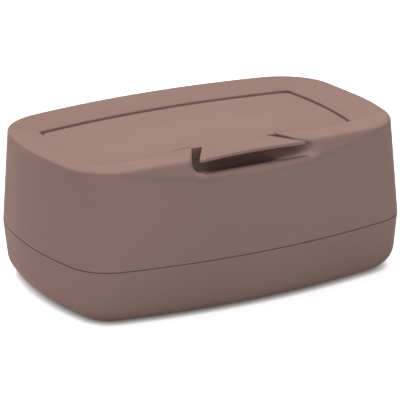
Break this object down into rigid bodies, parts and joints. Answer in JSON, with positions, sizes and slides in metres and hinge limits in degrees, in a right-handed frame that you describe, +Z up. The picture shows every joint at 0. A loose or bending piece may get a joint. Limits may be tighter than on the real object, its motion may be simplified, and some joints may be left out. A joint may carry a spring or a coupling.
{
  "type": "countertop wipes dispenser",
  "caption": "Low rounded box in dusty brown plastic with a dished top, a hinged lid with a lifting tab over a finger scoop, and a weighted plate inside that presses on the wipes.",
  "frame": {"origin": "centre of the underside, on the table that the feet stand on", "axes": "+X along the long side to the right, +Y to the back, where the lid is hinged, +Z up"},
  "size_m": [0.236, 0.1574, 0.0955],
  "materials": {
    "shell_plastic": "fine satin moulded texture",
    "inner_plastic": "matte",
    "soft_seal": "matte silicone",
    "foot_rubber": "matte silicone",
    "steel": "drawn"
  },
  "bodies": {
    "base": {"base_tray": "shell_plastic", "foot_front_left": "foot_rubber", "foot_front_right": "foot_rubber", "foot_rear_left": "foot_rubber", "foot_rear_right": "foot_rubber"},
    "housing": {"upper_housing": "shell_plastic", "hinge_pin_left": "steel", "hinge_pin_right": "steel"},
    "lid": {"lid": "shell_plastic", "lid_seal": "soft_seal"},
    "press_plate": {"press_plate": "inner_plastic", "press_plate_cover": "inner_plastic", "press_weight_left": "steel", "press_weight_right": "steel"}
  },
  "joints": [
    {"name": "housing_lift", "type": "slide", "parent": "base", "child": "housing", "axis": [0, 0, 1], "range_m": [0, 0.11]},
    {"name": "lid_hinge", "type": "hinge", "parent": "housing", "child": "lid", "pos_m": [0, 0.041, 0.0886], "axis": [-1, 0, 0], "range_deg": [0, 92]},
    {"name": "plate_slide", "type": "slide", "parent": "base", "child": "press_plate", "axis": [0, 0, 1], "range_m": [0, 0.058]}
  ]
}
